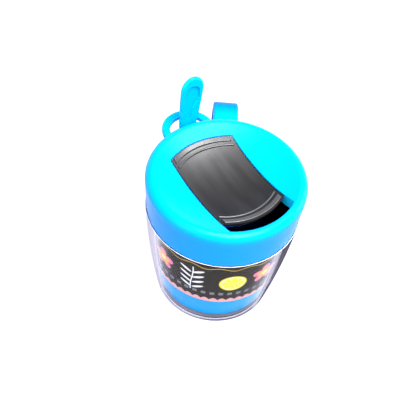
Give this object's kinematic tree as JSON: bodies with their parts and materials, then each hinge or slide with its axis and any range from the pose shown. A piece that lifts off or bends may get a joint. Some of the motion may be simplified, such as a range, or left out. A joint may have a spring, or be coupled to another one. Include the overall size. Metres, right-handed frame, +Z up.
{
  "type": "lidded cup with spoon",
  "caption": "Double-walled lidded cup with a side handle, a sliding drinking shutter in its lid, and a spoon that stands in a loop on the lid.",
  "frame": {"origin": "centre of the base, on the surface that the cup stands on", "axes": "+Z up along the cup's axis; the drinking mouth is at -Y and the shutter slides along Y; the spoon loop is near +Y and the handle between +X and +Y"},
  "size_m": [0.1096, 0.1318, 0.141],
  "materials": {
    "blue_plastic": "satin moulded polypropylene",
    "clear_plastic": "clear polished polystyrene",
    "printed_card": "printed card sleeve",
    "black_plastic": "satin black moulded plastic",
    "silicone": "soft translucent silicone"
  },
  "bodies": {
    "cup": {"jacket": "clear_plastic", "liner": "blue_plastic", "label_wrap": "printed_card", "handle": "blue_plastic"},
    "seal": {"lid_gasket": "silicone"},
    "lid": {"lid_cap": "blue_plastic"},
    "shutter": {"shutter": "black_plastic", "shutter_clip": "black_plastic"},
    "spoon": {"spoon": "blue_plastic"}
  },
  "joints": [
    {"name": "lid_lift", "type": "slide", "parent": "cup", "child": "seal", "axis": [0, 0, 1], "range_m": [0, 0.06]},
    {"name": "lid_turn", "type": "hinge", "parent": "seal", "child": "lid", "pos_m": [0, 0, 0.0787], "axis": [0, 0, 1], "range_deg": [0, 270]},
    {"name": "shutter_slide", "type": "hinge", "parent": "lid", "child": "shutter", "pos_m": [0, 0, 0.20056], "axis": [-1, 0, 0], "range_deg": [0, 5.1]},
    {"name": "spoon_slide", "type": "slide", "parent": "lid", "child": "spoon", "axis": [0.0452, -0.0032, 0.999], "range_m": [0, 0.052]}
  ]
}
